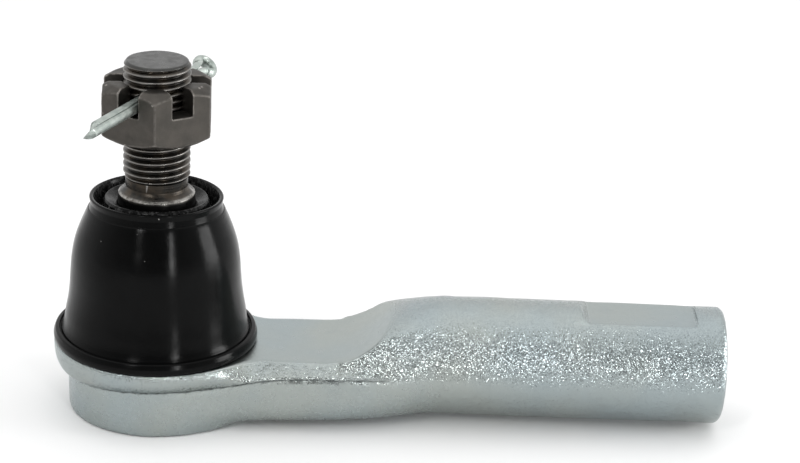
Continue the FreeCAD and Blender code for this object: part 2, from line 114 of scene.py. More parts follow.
# --- forged housing ---
CUP_R = 16.1
CUP_FOOT_Z = -0.5
FLANGE_R = 18.5
FLANGE_FULL_Z = 11.6
DECK_Z = 12.6
COLLAR_R = 13.6
CAVITY_R = 11.55
MOUTH_R = 9.5
PARTING_Z = 10.6
STEP_FOOT_X = 36.45
STEP_ANGLE = math.radians(43.0)
CUP_DRAFT = 0.02
ARM_FROM_X = 2.0
ARM_TO_X = 57.0
ARM_SHANK_BLEND = 1.1
CUP_ARM_BLEND = 4.6
RAMP_FOOT_BLEND = 4.2
PLANED_EDGE = 0.35
CROWN_BLEND = 5.6
CROWN_Z = (16.5, 21.0)
FLASH_FADE_X = (40, 47)
PARTING_STEP = 0.16
PARTING_GROOVE = 0.09
COLLAR_TOP_R = 11.9
COLLAR_SLOPE = (0.91, 0.41)
PLUG_LEDGE_Z = 2.35
PLUG_SEAT_R = 12.25
RIM_LIP_R = 11.3
RIM_LIP_Z = 0.65
ROLLED_MARK_R = 13.5
MOUTH_FROM_Z = 18.0
MOUTH_Z = 20.6
MOUTH_FLARE = 0.45
SHANK_CROWN_X = 72.0
SHANK_HALF_LENGTH = 34.0
SHANK_SWELL = 0.15
SHANK_CHAMFER = 0.7
BORE_R = 7.0
BORE_DEPTH = 45.0
BORE_PITCH = 1.5
BORE_CHAMFER = 0.5
DRILL_R = 6.0
DRILL_SLOPE = (0.86, 0.5)
WRENCH_FROM_X = 79.0
WRENCH_TO_X = 98.7
WRENCH_HALF = 9.5
WRENCH_RUN_OUT = 1.2

# A 45 degree slope's share of each of its two distances.
SLANT_45 = 0.7071

# Grid cells of the meshes made from distance fields.
HOUSING_STEP = 0.42
NUT_STEP = 0.17

# --- floor ---
FLOOR_Z = CUP_FOOT_Z - 0.1
FLOOR_HALF = 900.0

rng = np.random.default_rng(7)


# ---------------------------------------------------------------- mesh helpers
def new_object(name, vertices, faces):
    """A mesh object from millimetre vertices, shaded smooth."""
    mesh = bpy.data.meshes.new(name)
    mesh.from_pydata((np.asarray(vertices) * MM).tolist(), [], [list(f) for f in faces])
    mesh.validate()
    mesh.polygons.foreach_set("use_smooth", [True] * len(mesh.polygons))
    mesh.update()
    obj = bpy.data.objects.new(name, mesh)
    bpy.context.scene.collection.objects.link(obj)
    return obj


def make_waves(length, count=14):
    """Seeded smooth ripple, about -1 to 1, with bumps of roughly the given length."""
    directions = rng.normal(size=(count, 3))
    directions /= np.linalg.norm(directions, axis=1)[:, None]
    turns = 2 * math.pi / (length * rng.uniform(0.7, 1.6, count))
    phases = rng.uniform(0, 2 * math.pi, count)

    def ripple(x, y, z):
        total = 0
        for d, k, p in zip(directions, turns, phases):
            total = total + np.sin((x * d[0] + y * d[1] + z * d[2]) * k + p)
        return total / math.sqrt(count)

    return ripple


def smooth_through(points, at):
    """Cubic curve through (position, value) points, sampled at the given positions."""
    px = np.array([q[0] for q in points], float)
    py = np.array([q[1] for q in points], float)
    slope = np.gradient(py, px)
    at = np.clip(at, px[0], px[-1])
    i = np.clip(np.searchsorted(px, at) - 1, 0, len(px) - 2)
    h = px[i + 1] - px[i]
    t = (at - px[i]) / h
    a = 2 * t**3 - 3 * t**2 + 1
    b = t**3 - 2 * t**2 + t
    c = -2 * t**3 + 3 * t**2
    d = t**3 - t**2
    return a * py[i] + b * h * slope[i] + c * py[i + 1] + d * h * slope[i + 1]


def smooth_step(low, high, x):
    t = np.clip((x - low) / (high - low), 0, 1)
    return t * t * (3 - 2 * t)


def join(a, b, soft):
    """Union of two distance fields with a fillet of about the given size."""
    h = np.maximum(soft - np.abs(a - b), 0) / soft
    return np.minimum(a, b) - h * h * soft / 4


def meet(a, b, soft):
    """Intersection of two distance fields with a rounded edge."""
    return -join(-a, -b, soft)


def cut(a, b, soft):
    """Field a with field b taken away."""
    return meet(a, -b, soft)


def refine(field, vertices, step):
    """Moves vertices on to the field's zero surface."""
    probe = step * 0.1
    for _ in range(3):
        x, y, z = vertices.T
        value = field(x, y, z)
        gx = field(x + probe, y, z) - field(x - probe, y, z)
        gy = field(x, y + probe, z) - field(x, y - probe, z)
        gz = field(x, y, z + probe) - field(x, y, z - probe)
        slope = np.stack([gx, gy, gz], 1) / (2 * probe)
        size = np.maximum((slope**2).sum(1), 0.05)
        move = slope * (value / size)[:, None]
        length = np.linalg.norm(move, axis=1)
        limit = np.minimum(1, step * 0.4 / np.maximum(length, 1e-9))
        vertices = vertices - move * limit[:, None]
    return vertices


def surface_net(field, low, high, step):
    """Quad mesh of a distance field's zero surface, one vertex in each grid cell that it crosses."""
    axes = [np.arange(a, b + step, step) for a, b in zip(low, high)]
    grid = np.meshgrid(*axes, indexing="ij")
    value = field(*grid)
    inside = value < 0
    n = np.array(value.shape) - 1
    corners = [(i, j, k) for i in (0, 1) for j in (0, 1) for k in (0, 1)]
    count = sum(inside[i : n[0] + i, j : n[1] + j, k : n[2] + k].astype(int) for i, j, k in corners)
    active = (count > 0) & (count < 8)
    cell = np.argwhere(active)
    number = np.full(active.shape, -1)
    number[active] = np.arange(len(cell))
    total = np.zeros((len(cell), 3))
    crossings = np.zeros(len(cell))
    for a in corners:
        for axis in range(3):
            if a[axis]:
                continue
            b = list(a)
            b[axis] = 1
            va = value[tuple((cell + a).T)]
            vb = value[tuple((cell + b).T)]
            crossed = (va < 0) != (vb < 0)
            part = np.where(crossed, va / np.where(crossed, va - vb, 1), 0)
            point = np.repeat(np.array(a, float)[None], len(cell), 0)
            point[:, axis] = part
            total += point * crossed[:, None]
            crossings += crossed
    vertices = np.array(low) + (cell + total / crossings[:, None]) * step
    quads = []
    for axis in range(3):
        u, w = (axis + 1) % 3, (axis + 2) % 3
        first = [slice(1, -1)] * 3
        second = [slice(1, -1)] * 3
        first[axis] = slice(0, -1)
        second[axis] = slice(1, None)
        entering = inside[tuple(first)] & ~inside[tuple(second)]
        leaving = ~inside[tuple(first)] & inside[tuple(second)]
        for edges, turn in ((entering, 1), (leaving, -1)):
            at = np.argwhere(edges) + 1
            at[:, axis] -= 1
            ring = []
            for du, dw in ((1, 1), (0, 1), (0, 0), (1, 0)):
                c = at.copy()
                c[:, u] -= du
                c[:, w] -= dw
                ring.append(number[tuple(c.T)])
            quads.append(np.stack(ring[::turn], 1))
    return refine(field, vertices, step), np.concatenate(quads)


def lathe(name, outline, turns=160, closed=True, ripple=None, axis_x=False):
    """Turns an outline of (radius, height) about the stud's axis, or about X for axis_x."""
    outline = np.array(outline, float)
    angle = np.arange(turns) * 2 * math.pi / turns
    r = np.repeat(outline[:, 0][:, None], turns, 1)
    z = np.repeat(outline[:, 1][:, None], turns, 1)
    a = np.repeat(angle[None], len(outline), 0)
    if ripple:
        r, z = ripple(r, z, a)
    points = np.stack([r * np.cos(a), r * np.sin(a), z], -1).reshape(-1, 3)
    if axis_x:
        points = points[:, [2, 0, 1]] + np.array([0, 0, SHANK_Z])
    faces = []
    rows = len(outline)
    last = rows if closed else rows - 1
    for i in range(last):
        j = (i + 1) % rows
        for k in range(turns):
            m = (k + 1) % turns
            faces.append((i * turns + k, i * turns + m, j * turns + m, j * turns + k))
    if not closed:
        faces.append(list(range(turns))[::-1])
        faces.append([(rows - 1) * turns + k for k in range(turns)])
    return new_object(name, points, faces)


def rounded(corners, pieces=5):
    """Open outline through (r, z, fillet) corners, with each inner corner turned into a smooth bend."""
    out = []
    n = len(corners)
    for i, (r, z, fillet) in enumerate(corners):
        here = np.array([r, z], float)
        if fillet <= 0 or i in (0, n - 1):
            out.append(here)
            continue
        before = np.array(corners[i - 1][:2], float) - here
        after = np.array(corners[i + 1][:2], float) - here
        lb, la = np.linalg.norm(before), np.linalg.norm(after)
        before /= lb
        after /= la
        half = math.acos(max(-1.0, min(1.0, float(before @ after)))) / 2
        back = min(fillet / math.tan(half), 0.49 * lb, 0.49 * la)
        start, end = here + before * back, here + after * back
        for k in range(pieces + 1):
            t = k / pieces
            out.append(start * (1 - t) ** 2 + here * 2 * t * (1 - t) + end * t**2)
    return out


def along(points, spacing):
    """The same outline with extra points, so that none are further apart than the spacing."""
    out = [np.array(points[0], float)]
    for a, b in zip(points, points[1:]):
        a, b = np.array(a, float), np.array(b, float)
        n = max(1, int(math.ceil(np.linalg.norm(b - a) / spacing)))
        out += [a + (b - a) * (i + 1) / n for i in range(n)]
    return out


# ---------------------------------------------------------------- forged housing
long_wave = make_waves(11.0)
short_wave = make_waves(3.6)
flash_wave = make_waves(2.2)

# Each pair is a distance along the arm from the stud, and the value there.
ARM_HALF_WIDTH = (
    (0, 13.0),
    (14, 13.45),
    (22, 13.15),
    (29, 12.85),
    (36, 12.6),
    (43, 11.75),
    (50, 10.2),
    (58, 8.0),
)
ARM_TOP_HALF_WIDTH = (
    (0, 9.2),
    (14, 9.4),
    (22, 9.65),
    (29, 10.0),
    (36, 10.3),
    (43, 10.2),
    (50, 9.2),
    (58, 7.0),
)
ARM_FULLNESS = ((0, 5.6), (14, 5.6), (22, 5.2), (29, 4.8), (36, 4.0), (43, 3.1), (50, 2.4), (58, 2.0))
ARM_SOLE_Z = ((0, -0.3), (12, -0.2), (20, 0.15), (29, 0.3), (36, 0.35), (43, 0.2), (50, 0.95), (58, 2.8))
PARTING_LINE = (
    (-18, 6.9),
    (-10, 7.9),
    (0, 8.6),
    (8, 8.85),
    (14, 9.2),
    (20, 10.3),
    (28, 10.7),
    (40, 10.7),
    (50, 10.6),
)


def parting_height(x):
    """The forging's parting line climbs across the cup and runs level along the arm."""
    return smooth_through(PARTING_LINE, x)


def cup_field(x, y, z):
    r = np.hypot(x, y)
    part = parting_height(x)
    wall = r - (CUP_R - 0.08 + CUP_DRAFT * z)
    drop = np.clip((FLANGE_FULL_Z - z) / (FLANGE_FULL_Z - part), 0, 1)
    swell = r - (CUP_R + (FLANGE_R - CUP_R) * np.sqrt(1 - drop**2))
    return join(wall, meet(swell, part - z, 0.35), 0.3)


def arm_field(x, y, z):
    half = smooth_through(ARM_HALF_WIDTH, x)
    top_half = smooth_through(ARM_TOP_HALF_WIDTH, x)
    power = smooth_through(ARM_FULLNESS, x)
    depth = PARTING_Z - smooth_through(ARM_SOLE_Z, x)
    side = np.abs(y)
    below = np.maximum(PARTING_Z - z, 0)
    belly = ((side / half) ** power + (below / depth) ** power) ** (1 / power) - 1
    lean = (half - top_half) / (DECK_Z - PARTING_Z)
    shoulder = (side - top_half - (DECK_Z - z) * lean) / np.sqrt(1 + lean**2)
    arm = meet(belly * depth, shoulder, 0.9)
    arm = meet(arm, z - DECK_Z - 1.0, 0.5)
    return meet(arm, np.maximum(x - ARM_TO_X, ARM_FROM_X - x), 1.0)


def shank_radius(x):
    """The shank swells very slightly between its ends."""
    reach = (x - SHANK_CROWN_X) / SHANK_HALF_LENGTH
    return SHANK_R - SHANK_SWELL * reach**2


def shank_field(x, y, z):
    around = np.hypot(y, z - SHANK_Z)
    bar = around - shank_radius(x)
    return meet(bar, STEP_FOOT_X - 2 - x, 0.5)


def planed_top(x, z):
    """Above the deck and the ramp that climbs to the shank's top: positive where metal is missing."""
    deck = z - DECK_Z
    ramp = deck * math.cos(STEP_ANGLE) - (x - STEP_FOOT_X) * math.sin(STEP_ANGLE)
    return join(deck, ramp, RAMP_FOOT_BLEND)


def flats_field(x, z):
    """Two opposite slabs that leave the wrench flats."""
    rise = np.abs(z - SHANK_Z) - WRENCH_HALF
    start = WRENCH_FROM_X - WRENCH_RUN_OUT * np.maximum(rise, 0) - x
    return np.maximum(np.maximum(-rise, start), x - WRENCH_TO_X)


def bore_field(x, y, z):
    around = np.hypot(y, z - SHANK_Z)
    bottom = SHANK_END_X - BORE_DEPTH
    hole = around - BORE_R - 0.05
    point = (bottom - x) * DRILL_SLOPE[0] + (around - DRILL_R) * DRILL_SLOPE[1]
    hole = np.maximum(hole, point)
    mouth = (around - BORE_R - BORE_CHAMFER + SHANK_END_X - x) * SLANT_45
    return np.minimum(hole, mouth)


def cavity_field(x, y, z):
    r = np.hypot(x, y)
    room = np.hypot(r, np.maximum(z - BALL_Z, 0)) - CAVITY_R
    room = np.maximum(room, PLUG_LEDGE_Z - z)
    mouth = np.maximum((r - MOUTH_R - MOUTH_FLARE * (z - MOUTH_Z)) * 0.9, MOUTH_FROM_Z - z)
    recess = np.maximum(r - PLUG_SEAT_R, np.maximum(RIM_LIP_Z - z, z - PLUG_LEDGE_Z - 0.01))
    throat = np.maximum(r - RIM_LIP_R, z - RIM_LIP_Z - 0.01)
    return np.minimum(np.minimum(room, mouth), np.minimum(recess, throat))


def collar_field(x, y, z):
    r = np.hypot(x, y)
    lean = (r - COLLAR_TOP_R) * COLLAR_SLOPE[0] + (z - COLLAR_TOP_Z) * COLLAR_SLOPE[1]
    return meet(np.maximum(r - COLLAR_R, lean), z - COLLAR_TOP_Z, 0.6)


def forging_skin(x, y, z):
    """How much metal the parting line's flash, its step and groove, and the skin's waviness take away."""
    part = parting_height(x)
    fade = 1 - smooth_step(*FLASH_FADE_X, x)
    flash = np.exp(-(((z - part) / 0.24) ** 2)) * (0.14 + 0.07 * flash_wave(x, y, z))
    step = PARTING_STEP * smooth_step(part + 0.1, part - 0.35, z)
    groove = PARTING_GROOVE * np.exp(-(((z - part + 0.5) / 0.18) ** 2))
    waviness = 0.045 * long_wave(x, y, z) + 0.018 * short_wave(x, y, z)
    return (step + groove - flash) * fade + waviness


def housing_field(x, y, z):
    bar = join(arm_field(x, y, z), shank_field(x, y, z), ARM_SHANK_BLEND)
    body = join(cup_field(x, y, z), bar, CUP_ARM_BLEND) + forging_skin(x, y, z)
    edge = PLANED_EDGE + CROWN_BLEND * smooth_step(*CROWN_Z, z)
    body = meet(body, planed_top(x, z), edge)
    body = join(body, np.maximum(collar_field(x, y, z), 5 - z), 0.5)
    body = meet(body, CUP_FOOT_Z - z, 0.5)
    around = np.hypot(y, z - SHANK_Z)
    chamfer = (x - SHANK_END_X + around - shank_radius(x) + SHANK_CHAMFER) * SLANT_45
    body = meet(body, np.maximum(x - SHANK_END_X, chamfer), 0.25)
    body = cut(body, flats_field(x, z), 0.25)
    rolled_mark = np.hypot(np.hypot(x, y) - ROLLED_MARK_R, z - CUP_FOOT_Z) - 0.35
    body = cut(body, rolled_mark, 0.3)
    body = cut(body, bore_field(x, y, z), 0.15)
    return cut(body, cavity_field(x, y, z), 0.12)


def make_housing():
    reach = FLANGE_R + 1.2
    low = (-reach, -reach, -1.5)
    high = (SHANK_END_X + 1.2, reach, 2 * SHANK_R + 1.2)
    vertices, quads = surface_net(housing_field, low, high, HOUSING_STEP)
    obj = new_object("forged_housing", vertices, quads)
    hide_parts("housing")
    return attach(obj, "housing")


def make_bore_thread():
    """Inside thread of the shank: a thin sleeve whose inner face carries the helix."""
    start = SHANK_END_X - BORE_DEPTH + 2
    end = SHANK_END_X - 1.2
    inner = along([(BORE_R, start), (BORE_R, end)], BORE_PITCH / 16)
    outline = [(BORE_R + 0.12, end), (BORE_R + 0.12, start)] + inner

    def ripple(r, z, a):
        phase = (z / BORE_PITCH - a / (2 * math.pi)) % 1
        ridge = np.clip(1.25 - 2.5 * np.abs(phase - 0.5), 0, 1)
        run_out = smooth_step(end, end - 1.6, z)
        cutaway = np.where(r < BORE_R + 0.06, ridge * 0.81 * run_out, 0)
        return r - cutaway, z

    obj = lathe("bore_thread", outline, 120, True, ripple, True)
    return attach(obj, "housing")


# ---------------------------------------------------------------- lathe-turned pieces
def make_end_plug():
    outline = rounded(
        [
            (0.02, 0.0, 0),
            (4.9, 0.0, 0.5),
            (5.8, 0.72, 0.5),
            (9.6, 0.72, 0.3),
            (9.9, 0.9, 0.2),
            (12.2, 0.72, 0.2),
            (12.2, 2.3, 0.2),
            (5.0, 2.3, 0.4),
            (4.2, 1.6, 0.4),
            (0.02, 1.6, 0),
        ]
    )
    obj = lathe("pressed_end_plug", outline, 128, False)
    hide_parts("end_plug")
    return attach(obj, "housing")


BELL = (
    (15.3, 16.9),
    (16.4, 16.62),
    (18.0, 16.35),
    (20.0, 15.98),
    (23.0, 15.6),
    (26.0, 15.4),
    (29.0, 15.15),
    (31.0, 14.82),
    (33.0, 14.26),
    (35.0, 13.48),
    (36.9, 12.48),
)


def boot_outline():
    """Closed outline of the boot: base, flange, groove, bell, lip, trough, boss and the inside."""
    heights = np.linspace(BELL[0][0], BELL[-1][0], 34)
    bell = [(r, z) for r, z in zip(smooth_through(BELL, heights), heights)]
    flange = rounded(
        [
            (COLLAR_R + 0.06, DECK_Z + 0.06, 0),
            (BOOT_BASE_R - 0.1, DECK_Z + 0.06, 0.5),
            (BOOT_BASE_R, 13.7, 1.2),
            (BOOT_BASE_R - 0.35, 14.75, 0.45),
            (17.55, 14.85, 0.15),
            (17.35, 14.35, 0.12),
            (17.12, 14.9, 0.15),
            (16.9, 15.3, 0),
        ]
    )
    shoulder = rounded(
        [
            (12.48, 36.9, 0),
            (12.3, 37.15, 0.1),
            (12.08, 37.25, 0.1),
            (11.84, 38.3, 0.5),
            (12.05, BOOT_LIP_Z - 0.15, 0.25),
            (11.75, BOOT_LIP_Z, 0.2),
            (11.3, BOOT_LIP_Z - 0.15, 0.25),
            (10.75, 37.6, 0.6),
            (10.4, 36.3, 0.4),
            (9.75, 36.3, 0.3),
            (9.5, 38.7, 0.4),
            (9.1, 39.2, 0.3),
            (7.6, 38.35, 0.3),
            (7.1, 38.1, 0.1),
            (7.4, 33.2, 0.1),
            (9.95, 33.2, 0.5),
            (12.0, 34.6, 0),
        ]
    )
    inner_heights = np.linspace(34.6, 17.4, 24)
    inner = [(r - 1.5, z) for r, z in zip(smooth_through(BELL, inner_heights), inner_heights)]
    foot = [(COLLAR_R + 1.0, 16.6), (COLLAR_R + 0.06, 16.6)]
    return flange + bell[1:] + shoulder[1:-1] + inner + foot


def make_boot():
    wobble = make_waves(14.0)

    def ripple(r, z, a):
        x, y = r * np.cos(a), r * np.sin(a)
        soft = smooth_step(15.5, 19, z) * (1 - 0.5 * smooth_step(36, 39, z))
        front = (0.5 - 0.5 * np.sin(a)) ** 2
        lift = smooth_step(34, 38, z) * (0.5 + 0.6 * front)
        return r + 0.05 * wobble(x, y, z) * soft, z + 0.03 * wobble(y, z, x) * soft + lift

    obj = lathe("rubber_boot", along(boot_outline(), 0.7), 220, True, ripple)
    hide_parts("dust_boot")
    return obj


def thread_ridge(z, a, pitch):
    """Height of a rolled thread between root (0) and crest (1)."""
    phase = (z / pitch - a / (2 * math.pi)) % 1
    return np.clip(1.2 - 2.4 * np.abs(phase - 0.5), 0, 1)


def drill_cross_hole(stud):
    """The round hole the split pin passes through."""
    around, reach = 40, THREAD_R + 1.5
    angles = np.linspace(0, 2 * math.pi, around, False)
    ring = [(PIN_HOLE_R * math.cos(a), PIN_HOLE_R * math.sin(a)) for a in angles]
    points = [(side * reach, y, z + PIN_Z) for side in (-1, 1) for y, z in ring]
    faces = [[i, (i + 1) % around, around + (i + 1) % around, around + i] for i in range(around)]
    faces.append(list(range(around))[::-1])
    faces.append(list(range(around, 2 * around)))
    drill = new_object("drill", turned(points, PIN_AZIMUTH), faces)
    modifier = stud.modifiers.new("cross_hole", "BOOLEAN")
    modifier.operation = "DIFFERENCE"
    modifier.solver = "EXACT"
    modifier.object = drill
    cut_mesh = bpy.data.meshes.new_from_object(stud.evaluated_get(bpy.context.evaluated_depsgraph_get()))
    stud.modifiers.clear()
    stud.data = cut_mesh
    bpy.data.objects.remove(drill)


def make_stud():
    flat_r = math.sqrt(BALL_R**2 - (BALL_Z - BALL_FLAT_Z) ** 2)
    first = math.asin((BALL_FLAT_Z - BALL_Z) / BALL_R)
    last = math.acos(NECK_R / BALL_R)
    ball = []
    for i in range(25):
        t = first + (last - first) * i / 24
        ball.append((BALL_R * math.cos(t), BALL_Z + BALL_R * math.sin(t)))
    body = rounded(
        [
            (NECK_R, ball[-1][1], 0),
            (NECK_R, NECK_TOP_Z, 1.5),
            (TAPER_BIG_R, TAPER_BIG_Z, 0.6),
            (TAPER_SMALL_R, TAPER_SMALL_Z, 0.12),
            (UNDERCUT_R + 0.25, SHOULDER_TOP_Z, 0.35),
            (UNDERCUT_R, SHOULDER_TOP_Z + 0.5, 0.3),
            (UNDERCUT_R, THREAD_START_Z - 0.2, 0),
        ]
    )
    screw = [(UNDERCUT_R, THREAD_START_Z), (THREAD_R, THREAD_START_Z + 0.5)]
    top = STUD_TOP_Z
    screw += [(THREAD_R, top - 0.75), (THREAD_R - 0.5, top - 0.1)]
    screw = along(screw, THREAD_PITCH / 18)
    tip = [(THREAD_R - 0.6, top - 0.02)] + along([(THREAD_R - 0.75, top), (0.02, top)], 0.5)
    outline = [(0.02, BALL_FLAT_Z), (flat_r - 0.3, BALL_FLAT_Z)] + ball + body[1:] + screw + tip

    def ripple(r, z, a):
        root = THREAD_R - THREAD_DEPTH
        crest = root + THREAD_DEPTH * thread_ridge(z, a, THREAD_PITCH)
        threaded = (z > THREAD_START_Z - 0.01) & (r > root)
        return np.where(threaded, np.minimum(r, crest), r), z

    obj = lathe("threaded_ball_stud", outline, 144, False, ripple)
    drill_cross_hole(obj)
    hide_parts("ball_stud")
    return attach(obj, "ball_stud")


# ---------------------------------------------------------------- castle nut and split pin
def turned(points, azimuth):
    """Points turned about the stud's axis by the azimuth."""
    c, s = math.cos(azimuth), math.sin(azimuth)
    x, y, z = np.asarray(points).T
    return np.stack([x * c - y * s, x * s + y * c, z], 1)


nut_wave = make_waves(2.5)


def nut_field(x, y, z):
    r = np.hypot(x, y)
    hexagon = None
    for i in range(3):
        a = math.radians(60 * i)
        flat = np.abs(x * math.cos(a) + y * math.sin(a)) - NUT_ACROSS_FLATS / 2
        hexagon = flat if hexagon is None else meet(hexagon, flat, 0.3)
    ends = np.maximum(z - NUT_TOP_Z, NUT_BOTTOM_Z - z)
    face_r = np.where(z > (NUT_TOP_Z + NUT_BOTTOM_Z) / 2, NUT_TOP_FACE_R, NUT_FACE_R)
    cone = (r - face_r) * math.sin(NUT_CHAMFER_ANGLE) + ends * math.cos(NUT_CHAMFER_ANGLE)
    nut = meet(hexagon, meet(ends, cone, 0.2), 0.25)
    nut = nut + 0.012 * nut_wave(x, y, z)
    for i in range(3):
        a = math.radians(60 * i)
        across = np.abs(y * math.cos(a) - x * math.sin(a)) - SLOT_WIDTH / 2
        nut = cut(nut, meet(across, SLOT_FLOOR_Z - z, 0.3), 0.16)
    turn = np.arctan2(y, x)
    bore = r - (THREAD_R + 0.05 - 0.62 * thread_ridge(z, turn, THREAD_PITCH))
    lead = (r - THREAD_R - 0.45 + np.maximum(-ends, 0)) * SLANT_45
    return cut(nut, np.minimum(bore * 0.6, lead), 0.1)


def make_nut():
    reach = NUT_ACROSS_FLATS / math.sqrt(3) + 0.4
    low = (-reach, -reach, NUT_BOTTOM_Z - 0.4)
    high = (reach, reach, NUT_TOP_Z + 0.4)
    vertices, quads = surface_net(nut_field, low, high, NUT_STEP)
    obj = new_object("slotted_nut", turned(vertices, NUT_AZIMUTH), quads)
    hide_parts("castle_nut")
    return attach(obj, "ball_stud")


def pin_path():
    """The wire's flat face, from the short leg's tip, round the eye, to the long leg's tip."""
    half = PIN_GAP / 2
    flare = PIN_EYE_AT - 3.2
    points = [(x, half) for x in (-PIN_SHORT_LEG, -8.0, 4.0, flare - 2.5)]
    points.append((flare, half + 0.02))
    for i in range(29):
        a = math.radians(152 - 304 * i / 28)
        points.append((PIN_EYE_AT + PIN_EYE_HOLE_R * math.cos(a), PIN_EYE_HOLE_R * math.sin(a)))
    points.append((flare, -half - 0.02))
    points += [(x, -half) for x in (flare - 2.5, 4.0, -8.0, -PIN_LONG_LEG)]
    return along(points, 0.9)


def make_pin():
    """Half-round wire swept along the path, flat side inwards, with slanted tips."""
    path = np.array(pin_path())
    tangent = np.gradient(path, axis=0)
    tangent /= np.linalg.norm(tangent, axis=1)[:, None]
    outward = np.stack([-tangent[:, 1], tangent[:, 0]], 1)
    angle = np.linspace(0, math.pi, 15)
    out = np.maximum(PIN_R * 0.97 * np.sin(angle), 0)
    across = PIN_R * np.cos(angle)
    n, m = len(path), len(angle)
    grid = np.zeros((n, m, 3))
    grid[:, :, :2] = path[:, None] + outward[:, None] * out[None, :, None]
    grid[:, :, 2] = across
    for end in (0, n - 1):
        grid[end, :, 0] += PIN_TIP_SLANT * (np.abs(grid[end, :, 1]) - 0.2)
    c, s = math.cos(PIN_ROLL), math.sin(PIN_ROLL)
    x, y, z = grid.reshape(-1, 3).T
    points = np.stack([x, y * c - z * s, y * s + z * c + PIN_Z], 1)
    faces = []
    for i in range(n - 1):
        for k in range(m):
            j = (k + 1) % m
            faces.append((i * m + k, i * m + j, (i + 1) * m + j, (i + 1) * m + k))
    faces.append(list(range(m))[::-1])
    faces.append([(n - 1) * m + k for k in range(m)])
    obj = new_object("split_pin", turned(points, PIN_AZIMUTH), faces)
    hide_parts("cotter_pin")
    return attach(obj, "ball_stud")


# ---------------------------------------------------------------- materials
class Shader:
    """A Principled material with short calls for its nodes. Coordinates are the object's, in metres."""

    def __init__(self, name):
        self.material = bpy.data.materials.new(name)
        self.material.use_nodes = True
        self.tree = self.material.node_tree
        self.nodes = self.tree.nodes
        self.bsdf = next(n for n in self.nodes if n.type == "BSDF_PRINCIPLED")
        self.place = self.nodes.new("ShaderNodeTexCoord").outputs["Object"]

    def link(self, source, target):
        self.tree.links.new(source, target)

    def put(self, socket, value):
        """Links a socket's output to an input, or sets a plain value."""
        if isinstance(value, bpy.types.NodeSocket):
            self.link(value, socket)
        else:
            socket.default_value = value

    def noise(self, size_mm, detail=3.0, rough=0.5, place=None):
        node = self.nodes.new("ShaderNodeTexNoise")
        self.link(place or self.place, node.inputs["Vector"])
        node.inputs["Scale"].default_value = 1 / (size_mm * MM)
        node.inputs["Detail"].default_value = detail
        node.inputs["Roughness"].default_value = rough
        return node.outputs["Fac"]

    def cells(self, size_mm):
        """Random colour per cell, and the distance from the cell's middle."""
        node = self.nodes.new("ShaderNodeTexVoronoi")
        self.link(self.place, node.inputs["Vector"])
        node.inputs["Scale"].default_value = 1 / (size_mm * MM)
        return node.outputs["Color"], node.outputs["Distance"]

    def ramp(self, value, low, high, a, b):
        """Goes from a to b as the value goes from low to high."""
        node = self.nodes.new("ShaderNodeMapRange")
        self.put(node.inputs["Value"], value)
        node.inputs["From Min"].default_value = low
        node.inputs["From Max"].default_value = high
        node.inputs["To Min"].default_value = a
        node.inputs["To Max"].default_value = b
        return node.outputs["Result"]

    def math(self, operation, a, b):
        node = self.nodes.new("ShaderNodeMath")
        node.operation = operation
        self.put(node.inputs[0], a)
        self.put(node.inputs[1], b)
        return node.outputs["Value"]

    def mix(self, factor, a, b):
        node = self.nodes.new("ShaderNodeMix")
        node.data_type = "RGBA"
        self.put(node.inputs["Factor"], factor)
        self.put(node.inputs["A"], a if isinstance(a, bpy.types.NodeSocket) else (*a, 1))
        self.put(node.inputs["B"], b if isinstance(b, bpy.types.NodeSocket) else (*b, 1))
        return node.outputs["Result"]

    def bump(self, height, depth_mm, normal=None, strength=1.0):
        node = self.nodes.new("ShaderNodeBump")
        node.inputs["Strength"].default_value = strength
        node.inputs["Distance"].default_value = depth_mm * MM
        self.link(height, node.inputs["Height"])
        if normal:
            self.link(normal, node.inputs["Normal"])
        return node.outputs["Normal"]

    def attribute(self, name):
        node = self.nodes.new("ShaderNodeAttribute")
        node.attribute_name = name
        return node.outputs["Fac"]

    def combined(self, x, y, z):
        node = self.nodes.new("ShaderNodeCombineXYZ")
        for socket, value in zip(node.inputs, (x, y, z)):
            self.put(socket, value)
        return node.outputs["Vector"]

    def radius_and_height(self):
        """Distance from the stud's axis, and height, in metres."""
        node = self.nodes.new("ShaderNodeSeparateXYZ")
        self.link(self.place, node.inputs["Vector"])
        x, y, z = node.outputs
        square = self.math("ADD", self.math("MULTIPLY", x, x), self.math("MULTIPLY", y, y))
        return self.math("SQRT", square, 0.0), z

    def edges(self, low, high):
        """1 on convex edges, 0 on flat ground."""
        node = self.nodes.new("ShaderNodeNewGeometry")
        return self.ramp(node.outputs["Pointiness"], low, high, 0, 1)

    def facets(self, size_mm, tilt):
        """Normal that leans a random way in each small cell, as on a coarse crystalline skin."""
        colour, _ = self.cells(size_mm)
        centred = self.vector("SUBTRACT", colour, (0.5, 0.5, 0.5))
        scaled = self.nodes.new("ShaderNodeVectorMath")
        scaled.operation = "SCALE"
        self.link(centred, scaled.inputs[0])
        self.put(scaled.inputs["Scale"], tilt)
        normal = self.nodes.new("ShaderNodeNewGeometry").outputs["Normal"]
        leaning = self.vector("ADD", normal, scaled.outputs["Vector"])
        return self.vector("NORMALIZE", leaning, None)

    def vector(self, operation, a, b):
        node = self.nodes.new("ShaderNodeVectorMath")
        node.operation = operation
        self.put(node.inputs[0], a)
        if b is not None:
            self.put(node.inputs[1], b)
        return node.outputs["Vector"]

    def finish(self, colour, roughness, normal, metallic):
        self.put(self.bsdf.inputs["Base Color"], colour)
        self.put(self.bsdf.inputs["Roughness"], roughness)
        if normal is not None:
            self.link(normal, self.bsdf.inputs["Normal"])
        self.bsdf.inputs["Metallic"].default_value = metallic
        return self.material


